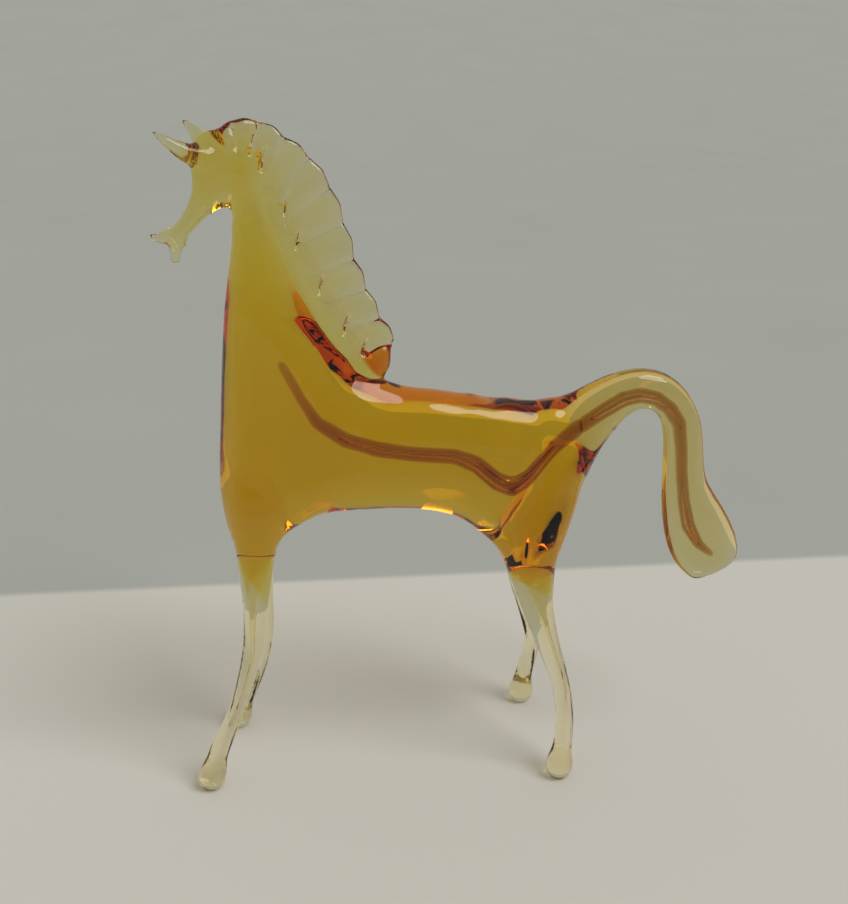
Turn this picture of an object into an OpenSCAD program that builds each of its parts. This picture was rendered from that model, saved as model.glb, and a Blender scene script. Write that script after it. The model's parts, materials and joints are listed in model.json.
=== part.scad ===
// Hot-worked amber glass horse, standing, head to -X, far side to +Y, feet on Z = 0.
// Profile points are [x, z] on the middle plane of the horse, in millimetres.

/* [Figure] */
// Length from the upper lip to the end of the tail
figure_length = 197; // [160:1:240]
// Height from the table to the crest of the mane
figure_height = 220; // [180:1:270]

/* [Body] */
// Thickness of the neck where it meets the head
poll_thickness = 12.5; // [10:0.5:18]
// Thickness of the chest, the thickest part of the gather
chest_thickness = 26.5; // [20:0.5:32]
// Thickness of the trunk behind the shoulder
trunk_thickness = 24.6; // [18:0.5:30]
// Thickness of the rump between the hind legs
rump_thickness = 19; // [14:0.5:24]
// How far the crest of the neck is drawn out to a thin edge under the mane
crest_taper = 1; // [0:0.05:1]

/* [Head] */
// Thickness of the head across the cheeks
cheek_thickness = 12; // [9:0.5:16]
// Thickness of the muzzle
muzzle_thickness = 7; // [5:0.5:10]
// Diameter of an ear at its root
ear_diameter = 6.4; // [4.5:0.1:8]
// Diameter of a lip where it leaves the muzzle
lip_diameter = 4.8; // [3.6:0.1:6]

/* [Mane] */
// Thickness of the crimped ribbon at its foot
mane_foot_thickness = 4.6; // [3:0.1:7]
// Thickness of the crimped ribbon at its rim
mane_rim_thickness = 2.8; // [2:0.1:4]
// Sideways throw of each crimp from the middle plane
crimp_throw = 0.7; // [0:0.1:1.5]

/* [Legs] */
// Diameter of a leg at its thinnest
leg_diameter = 6.4; // [5:0.1:8]
// Diameter of a fore leg under the chest
forearm_diameter = 12.6; // [9:0.1:14]
// Diameter of a hind leg at the thigh
thigh_diameter = 16; // [12:0.1:18]
// Distance between the fore feet, centre to centre
fore_stance = 38; // [28:1:48]
// Distance between the hind feet, centre to centre
hind_stance = 50; // [36:1:60]
// Diameter of the ball that ends each leg
foot_diameter = 8.6; // [7:0.1:11]
// Depth that the flat under each foot takes off the ball
foot_flat_depth = 0.7; // [0.4:0.1:1.2]

/* [Tail] */
// Thickness of the tail where it leaves the rump
dock_thickness = 15; // [11:0.5:18]
// Thickness of the tail at the start of its flattened end
paddle_thickness = 9; // [7:0.5:12]

/* [Streak] */
// Height of the darker glass thread inside the body, at its middle
streak_height = 3.8; // [2.5:0.1:5]
// How much wider than high the thread is
streak_flatness = 1.4; // [1:0.1:1.6]

/* [Hidden] */

amber = [0.72, 0.52, 0.10];
pale_amber = [0.86, 0.78, 0.48];
dark_amber = [0.62, 0.33, 0.05];
brown = [0.35, 0.16, 0.04];

// The profile points below are drawn on a horse of this length and height
drawn_length = 197;
drawn_height = 220;

ring_sides = 24;
body_steps = 2;      // rings from one body station to the next
ring_fullness = 2.3; // 2 is an ellipse, more is squarer
ball_sides = 12;
streak_sides = 8;

foot_centre = foot_diameter / 2 - foot_flat_depth;

function lx(x) = x * figure_length / drawn_length;
function lz(z) = z * figure_height / drawn_height;

// Body stations: [back or crest point, belly or front point, thickness, share of the crest taper]
body_stations = [
    [[-70.5, 218.3], [-73.2, 195.0], poll_thickness, 0.90],
    [[-64.8, 212.0], [-72.8, 191.5], poll_thickness + 1, 0.95],
    [[-61.2, 199.0], [-73.3, 184.0], poll_thickness + 2, 1.00],
    [[-55.8, 186.0], [-74.8, 175.0], poll_thickness + 3.7, 1.00],
    [[-48.6, 171.0], [-76.8, 163.0], chest_thickness - 7.5, 1.00],
    [[-40.5, 154.5], [-78.6, 145.0], chest_thickness - 4, 0.90],
    [[-31.5, 142.0], [-80.2, 125.0], chest_thickness - 1.5, 0.60],
    [[-24.5, 138.2], [-81.4, 105.0], chest_thickness, 0.30],
    [[-19.5, 136.6], [-77.5,  88.0], chest_thickness - 0.5, 0.10],
    [[-16.0, 135.9], [-64.0,  86.5], trunk_thickness + 0.8],
    [[-12.0, 135.4], [-51.0,  93.0], trunk_thickness + 0.4],
    [[ -7.0, 134.6], [-36.0,  94.3], trunk_thickness + 0.2],
    [[ -1.0, 133.4], [-18.0,  94.0], trunk_thickness],
    [[  8.3, 132.7], [ -5.0,  91.2], trunk_thickness],
    [[ 18.0, 130.8], [  2.5,  86.3], trunk_thickness - 0.2],
    [[ 28.0, 128.3], [  8.5,  80.5], trunk_thickness - 0.6],
    [[ 37.0, 118.5], [ 13.0,  76.0], rump_thickness + 4],
    [[ 39.5, 104.0], [ 17.5,  73.5], rump_thickness + 3],
    [[ 34.5,  91.0], [ 22.0,  73.5], rump_thickness],
    [[ 30.8,  82.0], [ 25.0,  75.0], rump_thickness - 7]];
shoulder_station = 10; // the barrel starts here
loin_station = 13;     // the croup starts here
rump_station = 19;

// Head stations run from the muzzle to the poll, forehead point first, then jaw point
head_stations = [
    [[-92.6, 188.6], [-90.4, 183.6], muzzle_thickness],
    [[-89.8, 191.0], [-88.2, 184.6], muzzle_thickness + 0.8],
    [[-86.2, 196.2], [-85.8, 187.0], muzzle_thickness + 2.4],
    [[-84.3, 202.0], [-83.2, 189.6], cheek_thickness - 3],
    [[-84.4, 209.5], [-81.0, 191.6], cheek_thickness - 1],
    [[-82.3, 216.8], [-78.4, 193.6], cheek_thickness, 0.10],
    [[-77.0, 218.8], [-75.6, 194.8], cheek_thickness + 0.4, 0.50],
    body_stations[0]];

// Tail stations run from inside the rump, over the arch and down to the sheared end
tail_stations = [
    [[22.0, 126.0], [33.0,  99.0], dock_thickness + 1],
    [[31.0, 130.0], [40.5, 105.5], dock_thickness],
    [[42.8, 136.2], [47.5, 115.5], dock_thickness - 2],
    [[52.0, 139.6], [54.5, 124.0], dock_thickness - 3.4],
    [[60.0, 140.3], [59.5, 126.2], dock_thickness - 4],
    [[68.0, 138.0], [63.8, 125.2], paddle_thickness + 1.6],
    [[75.3, 131.6], [66.8, 120.8], paddle_thickness + 1.4],
    [[80.6, 121.5], [68.0, 113.5], paddle_thickness + 1],
    [[82.6, 109.0], [68.3, 104.5], paddle_thickness + 0.6],
    [[84.6,  99.5], [68.6,  94.5], paddle_thickness],
    [[91.0,  90.0], [69.6,  84.5], paddle_thickness - 0.4],
    [[97.2,  78.5], [71.8,  75.0], paddle_thickness - 1],
    [[98.5,  69.5], [76.0,  67.0], paddle_thickness - 2],
    [[93.0,  64.8], [82.5,  61.0], paddle_thickness - 4]];
arch_station = 3;
fall_station = 6;
paddle_station = 9;
tail_end_station = 13;

// Leg points: [x, z, share of the splay, share of the swell above the thinnest diameter]
near_fore_points = [
    [-70.5, 100, 0.00, 0.90], [-71.0, 90, 0.02, 1.00], [-71.1, 80, 0.05, 0.95],
    [-71.6,  70, 0.14, 0.60], [-71.9, 60, 0.27, 0.35], [-72.8, 50, 0.38, 0.22],
    [-75.1,  41, 0.51, 0.10], [-78.3, 31.5, 0.62, 0.00], [-81.6, 24, 0.71, 0.00],
    [-85.0,  17, 0.79, 0.08], [-87.8, 10, 0.88, 0.16]];
near_fore_foot_x = -89.5;
far_fore_points = [
    [-70.5, 100, 0.00, 0.90], [-71.0, 90, 0.02, 1.00], [-71.0, 80, 0.05, 0.95],
    [-70.9,  70, 0.14, 0.60], [-70.4, 60, 0.27, 0.35], [-70.1, 50, 0.38, 0.22],
    [-70.7,  41, 0.51, 0.10], [-72.4, 31.5, 0.62, 0.00], [-74.6, 24, 0.71, 0.00],
    [-77.4,  17, 0.79, 0.08], [-80.2, 10, 0.88, 0.16]];
far_fore_foot_x = -82;
near_hind_points = [
    [31.0, 107, 0.00, 0.20], [28.8, 98, 0.05, 0.40], [24.6, 87, 0.08, 0.85],
    [21.2,  76, 0.12, 1.00], [22.8, 65.5, 0.20, 0.65], [24.9, 56, 0.31, 0.35],
    [27.8,  46, 0.43, 0.17], [30.4, 37.5, 0.54, 0.08], [32.4, 29.5, 0.64, 0.02],
    [33.2,  22, 0.75, 0.02], [32.8, 14.5, 0.86, 0.06], [31.7, 9, 0.94, 0.10]];
near_hind_foot_x = 30.8;
far_hind_points = [
    [31.0, 107, 0.00, 0.20], [28.8, 98, 0.05, 0.40], [24.6, 87, 0.08, 0.85],
    [21.2,  76, 0.12, 1.00], [22.6, 65.5, 0.20, 0.65], [24.3, 56, 0.31, 0.35],
    [26.4,  46, 0.43, 0.17], [28.0, 37.5, 0.54, 0.06], [28.8, 29.5, 0.65, 0.00],
    [28.5,  22, 0.76, 0.00], [27.5, 14.5, 0.87, 0.04], [26.7, 9, 0.94, 0.10]];
far_hind_foot_x = 26.4;
fore_root_spread = forearm_diameter / 2 + 0.1; // leaves a crotch between the fore legs
hind_root_spread = thigh_diameter / 2 - 0.4;

// Where each crimp notches the mane: [rim point, point inside the crest]
mane_notches = [
    [[-71.4, 218.6], [-70.0, 213.0]], [[-63.8, 219.0], [-67.0, 208.0]],
    [[-56.9, 214.8], [-64.5, 203.0]], [[-50.0, 209.0], [-63.0, 197.0]],
    [[-43.9, 200.3], [-61.0, 191.5]], [[-40.2, 189.5], [-58.0, 184.0]],
    [[-37.2, 178.5], [-54.5, 176.0]], [[-33.6, 168.6], [-50.5, 167.5]],
    [[-29.4, 159.4], [-45.5, 158.0]], [[-24.6, 151.5], [-37.5, 146.5]]];
lobe_bulge = 1.2; // how far a lobe's rim stands out between two notches

// Ear and lip points: [x, y, z, share of the root diameter]
near_ear_points = [[-79.5, -3.2, 209.8, 1.0], [-84.2, -4.8, 211.4, 0.95], [-88.0, -5.8, 213.6, 0.68],
                   [-91.4, -6.1, 216.0, 0.45], [-94.2, -6.0, 218.0, 0.22]];
far_ear_points = [[-78.0, 3.0, 211.5, 1.0], [-81.0, 4.4, 214.6, 0.85], [-83.4, 5.4, 217.4, 0.6],
                  [-85.2, 6.0, 219.2, 0.4], [-86.4, 6.2, 220.4, 0.22]];
upper_lip_points = [[-90.8, 0, 187.2, 1.0], [-93.4, 0, 186.4, 0.85], [-95.6, 0, 186.0, 0.62],
                    [-97.3, 0, 186.5, 0.42], [-98.0, 0, 187.4, 0.26]];
lower_lip_points = [[-89.2, 0, 185.4, 0.85], [-90.3, 0, 183.0, 0.72], [-90.8, 0, 181.2, 0.78],
                    [-90.9, 0, 179.8, 0.68], [-90.9, 0, 178.6, 0.30]];

// Thread of darker glass: [x, z, share of its height]
streak_points = [
    [-60.0, 146.0, 0.40], [-54.2, 133.6, 0.60], [-49.5, 125.8, 0.85], [-40.5, 119.6, 1.00],
    [-30.0, 116.0, 1.00], [-18.0, 114.2, 1.00], [-4.0, 112.8, 1.05], [3.0, 110.0, 1.20],
    [ 10.0, 103.8, 1.35], [15.5, 101.4, 1.45], [20.5, 104.0, 1.35], [25.5, 109.6, 1.20],
    [ 30.5, 115.0, 1.10], [35.5, 119.4, 1.00], [40.5, 122.6, 0.95], [46.4, 126.6, 0.95],
    [ 52.4, 130.2, 0.95], [58.5, 131.7, 0.90], [64.3, 130.5, 0.85], [69.4, 126.8, 0.80],
    [ 73.0, 121.0, 0.80], [74.4, 112.0, 0.75], [75.2, 102.0, 0.75], [76.7, 92.0, 0.90],
    [ 79.0,  83.0, 1.10], [83.0, 76.0, 0.80], [88.0, 71.8, 0.45]];
streak_split_x = 38; // the body's thread ends and the tail's starts at this x
far_away = 400;

// Catmull-Rom curve through a list of numbers or vectors, at position t between i and i + 1
function at(list, i) = list[max(0, min(len(list) - 1, i))];
function spline(list, i, t) =
    let (p0 = at(list, i - 1), p1 = at(list, i), p2 = at(list, i + 1), p3 = at(list, i + 2))
    0.5 * (2 * p1 + (p2 - p0) * t + (2 * p0 - 5 * p1 + 4 * p2 - p3) * t * t
           + (3 * p1 - p0 - 3 * p2 + p3) * t * t * t);
function flat_station(s) = [lx(s[0][0]), lz(s[0][1]), lx(s[1][0]), lz(s[1][1]), s[2],
                            len(s) > 3 ? s[3] * crest_taper : 0];

// One ring round a station, its long axis from the first point to the second
function round_power(v) = sign(v) * pow(abs(v), 2 / ring_fullness);
// A tapered ring thins towards its first point, and half as much towards its second
function thin_edge(c) = pow(max(0, 1 - c * c), c > 0 ? 1.3 : 0.8);
function ring(s) =
    let (cx = (s[0] + s[2]) / 2, cz = (s[1] + s[3]) / 2,
         ux = (s[0] - s[2]) / 2, uz = (s[1] - s[3]) / 2)
    [for (k = [0 : ring_sides - 1])
        let (c = round_power(cos(k * 360 / ring_sides)), w = round_power(sin(k * 360 / ring_sides)),
             tapered = sign(w) * thin_edge(c))
        [cx + ux * c, (w + (tapered - w) * s[5]) * s[4] / 2, cz + uz * c]];

// Skin of triangles over the stations from first to last, closed by flat ends
module loft(stations, first, last) {
    flats = [for (s = stations) flat_station(s)];
    rings = [for (i = [first : last - 1]) for (j = [0 : body_steps - 1])
                ring(spline(flats, i, j / body_steps)),
             ring(flats[last])];
    count = len(rings);
    points = [for (r = rings) each r];
    sides = [for (i = [0 : count - 2]) for (k = [0 : ring_sides - 1])
        let (a = i * ring_sides + k, b = i * ring_sides + (k + 1) % ring_sides,
             c = b + ring_sides, d = a + ring_sides)
        each [[a, b, c], [a, c, d]]];
    start = [for (k = [ring_sides - 1 : -1 : 0]) k];
    end = [for (k = [0 : ring_sides - 1]) (count - 1) * ring_sides + k];
    polyhedron(points, concat([start], sides, [end]));
}

// A pulled rod: one hull from ball to ball, [x, y, z, radius] each
module rod(balls, sides = ball_sides) {
    for (i = [0 : len(balls) - 2])
        hull() {
            ball(balls[i], sides);
            ball(balls[i + 1], sides);
        }
}
module ball(b, sides) {
    translate([b[0], b[1], b[2]]) sphere(b[3], $fn = sides);
}

module whole_body() { loft(body_stations, 0, rump_station); }
module whole_head() { loft(head_stations, 0, len(head_stations) - 1); }
module whole_tail() { loft(tail_stations, 0, tail_end_station); }

module streak_thread() {
    for (i = [0 : len(streak_points) - 2])
        hull() {
            streak_ball(streak_points[i]);
            streak_ball(streak_points[i + 1]);
        }
}
module streak_ball(p) {
    translate([lx(p[0]), 0, lz(p[1])])
        scale([1, streak_flatness, 1])
            sphere(p[2] * streak_height / 2, $fn = streak_sides);
}

module neck_and_chest() {
    color(amber) difference() {
        loft(body_stations, 0, shoulder_station);
        streak_thread();
    }
}
module barrel() {
    color(amber) difference() {
        loft(body_stations, shoulder_station, loin_station);
        streak_thread();
    }
}
module croup() {
    color(amber) difference() {
        loft(body_stations, loin_station, rump_station);
        streak_thread();
    }
}
module head() { color(pale_amber) whole_head(); }

// Small pulled point, rounded through its stations so that it bends smoothly
point_steps = 2;
module pulled_point(points, diameter) {
    balls = [for (p = points) [lx(p[0]), p[1], lz(p[2]), p[3] * diameter / 2]];
    rod([for (i = [0 : len(balls) - 2]) for (j = [0 : point_steps - 1])
            spline(balls, i, j / point_steps),
         balls[len(balls) - 1]]);
}
module upper_lip() {
    color(pale_amber) difference() {
        pulled_point(upper_lip_points, lip_diameter);
        whole_head();
    }
}
module lower_lip() {
    color(pale_amber) difference() {
        pulled_point(lower_lip_points, lip_diameter);
        whole_head();
        pulled_point(upper_lip_points, lip_diameter);
    }
}
module near_ear() { ear(near_ear_points); }
module far_ear() { ear(far_ear_points); }
module ear(points) {
    color(pale_amber) difference() {
        pulled_point(points, ear_diameter);
        whole_head();
    }
}

// The mane is one ribbon, pinched between the lobes
module ribbon() {
    for (i = [0 : len(mane_notches) - 2]) {
        throw = (i % 2 == 0 ? 1 : -1) * crimp_throw;
        rim = (mane_notches[i][0] + mane_notches[i + 1][0]) / 2;
        run = mane_notches[i + 1][0] - mane_notches[i][0];
        crown = rim + lobe_bulge * [-run[1], run[0]] / norm(run);
        hull() {
            mane_ball(mane_notches[i][0], mane_rim_thickness, -throw);
            mane_ball(mane_notches[i + 1][0], mane_rim_thickness, throw);
            mane_ball(crown, mane_rim_thickness, 0);
            mane_ball(mane_notches[i][1], mane_foot_thickness, 0);
            mane_ball(mane_notches[i + 1][1], mane_foot_thickness, 0);
        }
    }
}
module mane_ball(p, thickness, y) {
    ball([lx(p[0]), y, lz(p[1]), thickness / 2], ball_sides);
}
module mane() {
    color(pale_amber) difference() {
        ribbon();
        whole_body();
        whole_head();
    }
}

// Bit of glass that ends the mane on the withers
withers_bit_points = [[-36.0, 0, 143.2, 0.90], [-33.6, 0, 142.8, 1.0], [-31.4, 0, 142.8, 1.0],
                      [-29.6, 0, 143.6, 1.0], [-28.4, 0, 145.2, 0.90], [-27.6, 0, 147.2, 0.75]];
withers_bit_diameter = 8;
module withers_bit() {
    color(dark_amber) difference() {
        pulled_point(withers_bit_points, withers_bit_diameter);
        whole_body();
        ribbon();
    }
}

// A leg runs from inside the body down into its foot's ball
module leg(points, swell_diameter, root_spread, stance, foot_x, side) {
    thin = leg_diameter / 2;
    swell = (swell_diameter - leg_diameter) / 2;
    reach = stance / 2 - root_spread;
    balls = [for (p = points)
        [lx(p[0]), side * (root_spread + reach * p[2]), lz(p[1]), thin + swell * p[3]]];
    last = [lx(foot_x), side * stance / 2, foot_centre, thin * 1.1];
    difference() {
        rod(concat(balls, [last]));
        whole_body();
        foot(foot_x, stance, side);
    }
}
module foot(foot_x, stance, side) {
    translate([lx(foot_x), side * stance / 2, 0])
        rotate_extrude($fn = 48) intersection() {
            translate([0, foot_centre]) circle(foot_diameter / 2, $fn = 48);
            square([foot_diameter, foot_diameter]);
        }
}
near_side = -1;
far_side = 1;

module near_fore_leg() {
    color(pale_amber)
        leg(near_fore_points, forearm_diameter, fore_root_spread, fore_stance, near_fore_foot_x, near_side);
}
module far_fore_leg() {
    color(pale_amber)
        leg(far_fore_points, forearm_diameter, fore_root_spread, fore_stance, far_fore_foot_x, far_side);
}
module near_hind_leg() {
    color(pale_amber)
        leg(near_hind_points, thigh_diameter, hind_root_spread, hind_stance, near_hind_foot_x, near_side);
}
module far_hind_leg() {
    color(pale_amber)
        leg(far_hind_points, thigh_diameter, hind_root_spread, hind_stance, far_hind_foot_x, far_side);
}
module near_fore_foot() { color(pale_amber) foot(near_fore_foot_x, fore_stance, near_side); }
module far_fore_foot() { color(pale_amber) foot(far_fore_foot_x, fore_stance, far_side); }
module near_hind_foot() { color(pale_amber) foot(near_hind_foot_x, hind_stance, near_side); }
module far_hind_foot() { color(pale_amber) foot(far_hind_foot_x, hind_stance, far_side); }

module tail_root() {
    color(amber) difference() {
        loft(tail_stations, 0, arch_station);
        whole_body();
        streak_thread();
    }
}
module tail_part(first, last) {
    color(pale_amber) difference() {
        loft(tail_stations, first, last);
        streak_thread();
    }
}
module tail_arch() { tail_part(arch_station, fall_station); }
module tail_fall() { tail_part(fall_station, paddle_station); }
module tail_paddle() { tail_part(paddle_station, tail_end_station); }

// The thread is cut square where the body's glass was joined to the tail's
module streak_half(side) {
    color(brown) intersection() {
        streak_thread();
        translate([lx(streak_split_x) + side * far_away / 2, 0, 0]) cube(far_away, center = true);
    }
}
module body_streak() { streak_half(-1); }
module tail_streak() { streak_half(1); }

neck_and_chest();
barrel();
croup();
head();
upper_lip();
lower_lip();
near_ear();
far_ear();
mane();
withers_bit();
near_fore_leg();
far_fore_leg();
near_hind_leg();
far_hind_leg();
near_fore_foot();
far_fore_foot();
near_hind_foot();
far_hind_foot();
tail_root();
tail_arch();
tail_fall();
tail_paddle();
body_streak();
tail_streak();
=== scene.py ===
import json
import math

import bmesh
import bpy
import numpy as np
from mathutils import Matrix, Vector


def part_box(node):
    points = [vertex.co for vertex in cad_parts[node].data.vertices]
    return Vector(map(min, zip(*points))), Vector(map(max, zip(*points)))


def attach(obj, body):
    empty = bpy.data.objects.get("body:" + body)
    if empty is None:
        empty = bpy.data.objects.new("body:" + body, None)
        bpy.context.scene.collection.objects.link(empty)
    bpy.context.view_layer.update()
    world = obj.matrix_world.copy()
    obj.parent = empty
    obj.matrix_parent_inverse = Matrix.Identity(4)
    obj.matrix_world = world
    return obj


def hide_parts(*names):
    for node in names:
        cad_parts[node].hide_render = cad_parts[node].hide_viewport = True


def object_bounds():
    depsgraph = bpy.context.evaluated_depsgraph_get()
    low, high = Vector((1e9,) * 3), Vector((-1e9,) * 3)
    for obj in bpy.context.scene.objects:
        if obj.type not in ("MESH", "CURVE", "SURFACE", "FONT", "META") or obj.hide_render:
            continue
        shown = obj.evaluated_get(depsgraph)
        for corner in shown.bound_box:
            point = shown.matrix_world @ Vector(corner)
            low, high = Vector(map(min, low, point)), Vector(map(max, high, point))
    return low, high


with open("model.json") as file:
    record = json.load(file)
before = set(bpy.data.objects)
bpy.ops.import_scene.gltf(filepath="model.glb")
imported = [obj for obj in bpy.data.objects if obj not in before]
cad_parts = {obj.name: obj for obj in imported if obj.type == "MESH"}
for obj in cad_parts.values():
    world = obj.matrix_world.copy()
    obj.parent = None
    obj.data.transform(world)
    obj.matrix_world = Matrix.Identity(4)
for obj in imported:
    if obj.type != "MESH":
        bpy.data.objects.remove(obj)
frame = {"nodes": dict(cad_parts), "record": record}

import openvdb
from mathutils import Vector

bl_info = {
    "name": "Amber Glass Horse",
    "version": (1, 0, 0),
    "blender": (4, 5, 0),
    "location": "3D View > Sidebar > Glass Horse",
    "description": "Turns the packed model of a hot-worked horse into fused, fire-polished glass",
    "category": "Add Mesh",
}

CAD_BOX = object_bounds()
MM = 0.001
AIR_INDEX = 1.0

# Working out the glass; lengths are in millimetres
JOINT_GAP = 0.01      # between two fused pieces, so that light leaves one before it meets the next
BAND = 16             # cells of true distance on each side of a surface; wider than any fillet
MARGIN = 8.0          # free space kept round the glass in a box of cells
BLUR_REACH = 2.6      # standard deviations at which a blur is cut off
SETTLE_STEPS = 3      # times that the skin's points are moved onto the true surface
SETTLE_LIMIT = 0.4    # the furthest that one such step looks
FLATTEST = 0.05       # least squared slope of the field that such a step divides by
ON_PLANE = 1e-6       # a point no further than this from a cut counts as just above it
LEAST_PIECE = 50      # fewer triangles than this are no piece of glass
PROFILE_STEP = 0.125  # share of the run between two corners of a profile line
FAR_AWAY = 1e9        # further than any point of the glass
EDGE_LEAD = 0.7       # the thin edge starts this far outside its line, to leave room for the fillet
EDGE_FADE = 12        # the thin edge dies out over this length before its line ends
EDGE_FADE_RISE = 3    # how fast it dies out
ROUND_FRONT = 12      # the round edge's distance stops growing this far in front of its line
ROUND_END = 4         # length over which each end of the round edge sinks back in
ROUND_END_RISE = 0.5  # how fast it sinks
DENT_END = 3          # reaches at which a dent or groove has died away
GROOVE_HALF = 14      # half the depth across the horse that a groove may cross
GROOVE_SIDE = 0.8     # width over which a groove on one face fades towards the other
THREAD_CELL = 0.3     # cells that the thread is worked out in
THREAD_MELT = 2.5     # cells over which the thread's corners are rounded
THREAD_MARGIN = 8     # cells of free space kept round the thread

made = {}             # what one operator leaves for the next: the glass field, then its skin


def linear(hex_colour):
    """One sRGB hex colour as linear red, green and blue."""
    parts = [int(hex_colour[i:i + 2], 16) / 255 for i in (1, 3, 5)]
    return tuple(p / 12.92 if p <= 0.04045 else ((p + 0.055) / 1.055) ** 2.4 for p in parts)


def colour_prop(name, description, hex_colour):
    """A colour that the user can change."""
    return bpy.props.FloatVectorProperty(
        name=name, description=description, subtype="COLOR", size=3, min=0, max=1,
        default=linear(hex_colour))


def length_prop(name, description, metres, low=0.0):
    """A length that the user can change."""
    return bpy.props.FloatProperty(
        name=name, description=description, default=metres, min=low, subtype="DISTANCE",
        unit="LENGTH", precision=4)


class HorseShape(bpy.types.PropertyGroup):
    """How the glass was rounded, joined and marked."""
    cell: length_prop("Cell", "Size of the cells that the glass is worked out in", 0.0006, 0.0003)
    body_melt: length_prop("Body melt", "How far the flame rounded the body", 0.0015)
    tail_melt: length_prop("Tail melt", "How far the flame rounded the tail", 0.0012)
    leg_melt: length_prop("Leg melt", "How far the flame rounded the legs", 0.0009)
    leg_draw: length_prop("Leg draw", "How far pulling smoothed the legs along their length", 0.003)
    trim_melt: length_prop("Trim melt", "How far the flame rounded ears, lips and mane", 0.00045)
    limb_fillet: length_prop(
        "Limb fillet", "Width of the blend where a leg or the tail joins", 0.009)
    foot_fillet: length_prop("Foot fillet", "Width of the blend above a foot", 0.006)
    mane_fillet: length_prop(
        "Mane fillet", "Width of the blend between the mane and the crest", 0.006)
    trim_fillet: length_prop(
        "Trim fillet", "Width of the blend where an ear or a lip joins", 0.0032)
    crimp_depth: length_prop("Crimp depth", "Depth of each crimp in the mane", 0.0006)
    thread_swell: length_prop(
        "Thread swell", "How far the brown thread spread when it was cased", 0.0006)
    flute_depth: length_prop("Flute depth", "Depth of the lines pulled along the legs", 0.00014)


class HorseGlass(bpy.types.PropertyGroup):
    """The glass: how it bends light, and the colour it gives it."""
    index: bpy.props.FloatProperty(
        name="Index", description="Refractive index of the glass", default=1.5, min=1.3, max=1.8)
    body_tint: colour_prop("Body tint", "Light the thick amber glass lets through", "#FDF278")
    head_tint: colour_prop("Head tint", "Light the head's glass lets through", "#FDF39B")
    leg_tint: colour_prop("Leg tint", "Light the pulled legs let through", "#FDF8E0")
    bit_tint: colour_prop("Withers tint", "Light the bit on the withers lets through", "#FEDF00")
    mane_tint: colour_prop("Mane tint", "Light the crimped mane lets through", "#FCEC51")
    tail_tint: colour_prop("Tail tint", "Light the tail's glass lets through", "#FCF2B8")
    thread_tint: colour_prop("Thread tint", "Light the brown thread lets through", "#E0B53C")
    strength: bpy.props.FloatProperty(
        name="Strength", description="Absorption of the amber glass per metre",
        default=240, min=0)
    bit_strength: bpy.props.FloatProperty(
        name="Withers strength", description="Absorption of the bit on the withers per metre",
        default=700, min=0)
    thread_strength: bpy.props.FloatProperty(
        name="Thread strength", description="Absorption of the brown thread per metre",
        default=480, min=0)


class HorseStage(bpy.types.PropertyGroup):
    """The paper, the cloth and the light round the horse."""
    paper: colour_prop("Paper", "Colour of the paper under the horse", "#EDE9E4")
    cloth: colour_prop("Cloth", "Colour of the cloth behind the paper", "#C7C9C6")
    room: colour_prop("Room", "Colour of the light from all round", "#A1A39A")
    paper_depth: length_prop(
        "Paper depth", "Distance from the horse to the paper's back edge", 0.138)
    # past the paper's front edge the floor turns cloth grey: painted shade in front of the horse
    front_shade_edge: length_prop(
        "Paper front", "Distance from the horse to the paper's front edge", 0.2)
    window_strength: bpy.props.FloatProperty(
        name="Window strength", description="Light from the soft window, per square metre",
        default=1.3, min=0)
    window_width: bpy.props.FloatProperty(
        name="Window width", description="Angle that the window fills, seen from the horse",
        default=math.radians(35), min=0, max=math.pi, subtype="ANGLE", unit="ROTATION")


# ---------------------------------------------------------------- the glass field

class Field:
    """Signed distance to glass on a box of cells, in millimetres, negative inside."""

    def __init__(self, cell):
        self.cell = cell
        lo = np.array(CAD_BOX[0]) / MM - MARGIN
        hi = np.array(CAD_BOX[1]) / MM + MARGIN
        self.first = np.floor(lo / cell).astype(int)
        self.shape = tuple(np.ceil(hi / cell).astype(int) - self.first)
        self.values = np.full(self.shape, BAND * cell, np.float32)

    def at(self, points):
        """Value at each point, read between cells."""
        g = points / self.cell - self.first
        g = np.clip(g, 0, np.array(self.shape) - 1.001)
        i = g.astype(int)
        f = (g - i).astype(np.float64)
        v = self.values
        total = 0
        for dx in (0, 1):
            for dy in (0, 1):
                for dz in (0, 1):
                    weight = (
                        (f[:, 0] if dx else 1 - f[:, 0])
                        * (f[:, 1] if dy else 1 - f[:, 1])
                        * (f[:, 2] if dz else 1 - f[:, 2]))
                    total = total + weight * v[i[:, 0] + dx, i[:, 1] + dy, i[:, 2] + dz]
        return total

    def slope(self, points):
        """Rise of the field along each axis at each point."""
        step = self.cell
        out = np.empty_like(points)
        for axis in range(3):
            shift = np.zeros(3)
            shift[axis] = step
            out[:, axis] = (self.at(points + shift) - self.at(points - shift)) / (2 * step)
        return out

    def window(self, lo, hi):
        """Cells from corner lo to corner hi as slices, and their millimetre coordinates."""
        a = np.clip(np.floor(np.array(lo) / self.cell).astype(int) - self.first, 0, self.shape)
        b = np.clip(np.ceil(np.array(hi) / self.cell).astype(int) - self.first + 1, 0, self.shape)
        cells = tuple(slice(a[k], b[k]) for k in range(3))
        axes = [(np.arange(a[k], b[k]) + self.first[k]) * self.cell for k in range(3)]
        grid = np.meshgrid(*axes, indexing="ij", sparse=True)
        return cells, [g.astype(np.float32) for g in grid]


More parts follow.
